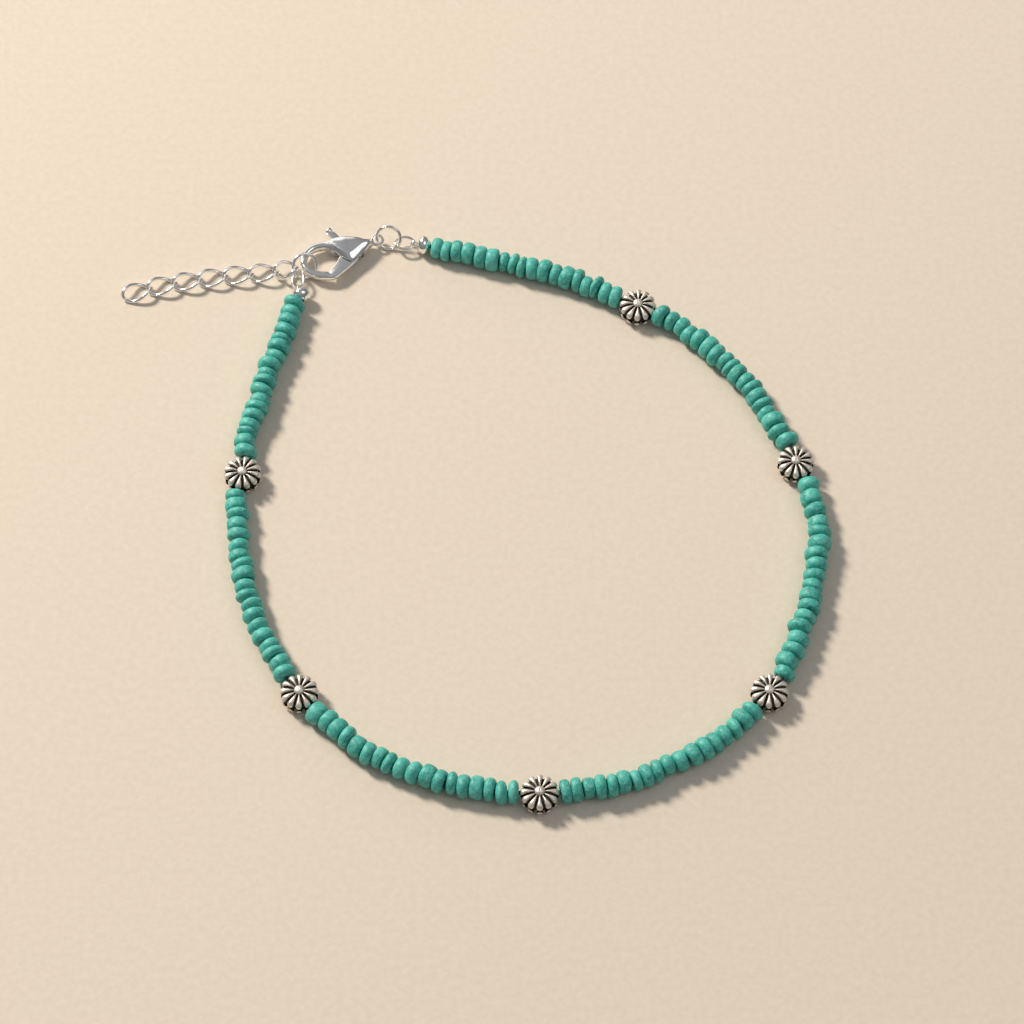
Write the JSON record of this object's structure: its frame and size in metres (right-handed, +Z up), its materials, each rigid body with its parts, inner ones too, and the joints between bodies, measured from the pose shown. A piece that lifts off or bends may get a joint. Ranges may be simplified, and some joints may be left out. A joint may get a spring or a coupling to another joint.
{
  "type": "beaded anklet",
  "caption": "Turquoise bead anklet with silver flower beads, a lobster claw clasp and an extender chain, lying flat and fastened.",
  "frame": {"origin": "middle of the outline, on the surface that the anklet lies on", "axes": "+Z up from that surface; +X along the longest extent, from the chain's free end towards the loop's far side; +Y towards the clasp"},
  "size_m": [0.0979, 0.0916, 0.0034],
  "materials": {
    "turquoise_stone": "satin",
    "antique_silver": "antique satin",
    "polished_silver": "polished"
  },
  "bodies": {
    "anklet": {"bead_run_1": "turquoise_stone", "bead_run_2": "turquoise_stone", "bead_run_3": "turquoise_stone", "bead_run_4": "turquoise_stone", "bead_run_5": "turquoise_stone", "bead_run_6": "turquoise_stone", "bead_run_7": "turquoise_stone", "flower_bead_1": "antique_silver", "flower_bead_2": "antique_silver", "flower_bead_3": "antique_silver", "flower_bead_4": "antique_silver", "flower_bead_5": "antique_silver", "flower_bead_6": "antique_silver", "crimp_left": "polished_silver", "crimp_right": "polished_silver", "jump_ring_clasp": "polished_silver", "jump_ring_hook": "polished_silver", "oval_link_left": "polished_silver", "oval_link_right": "polished_silver", "chain_link_1": "polished_silver", "chain_link_2": "polished_silver", "chain_link_3": "polished_silver", "chain_link_4": "polished_silver", "chain_link_5": "polished_silver", "chain_link_6": "polished_silver", "chain_link_7": "polished_silver", "clasp_body": "polished_silver"},
    "lever": {"clasp_lever": "polished_silver"}
  },
  "joints": [
    {"name": "lever_hinge", "type": "hinge", "parent": "anklet", "child": "lever", "pos_m": [-0.01668, 0.04073, 0.0012], "axis": [0, 0, -1], "range_deg": [0, 22], "stiffness_Nm_per_rad": 0.003, "springref_deg": -11.46}
  ]
}
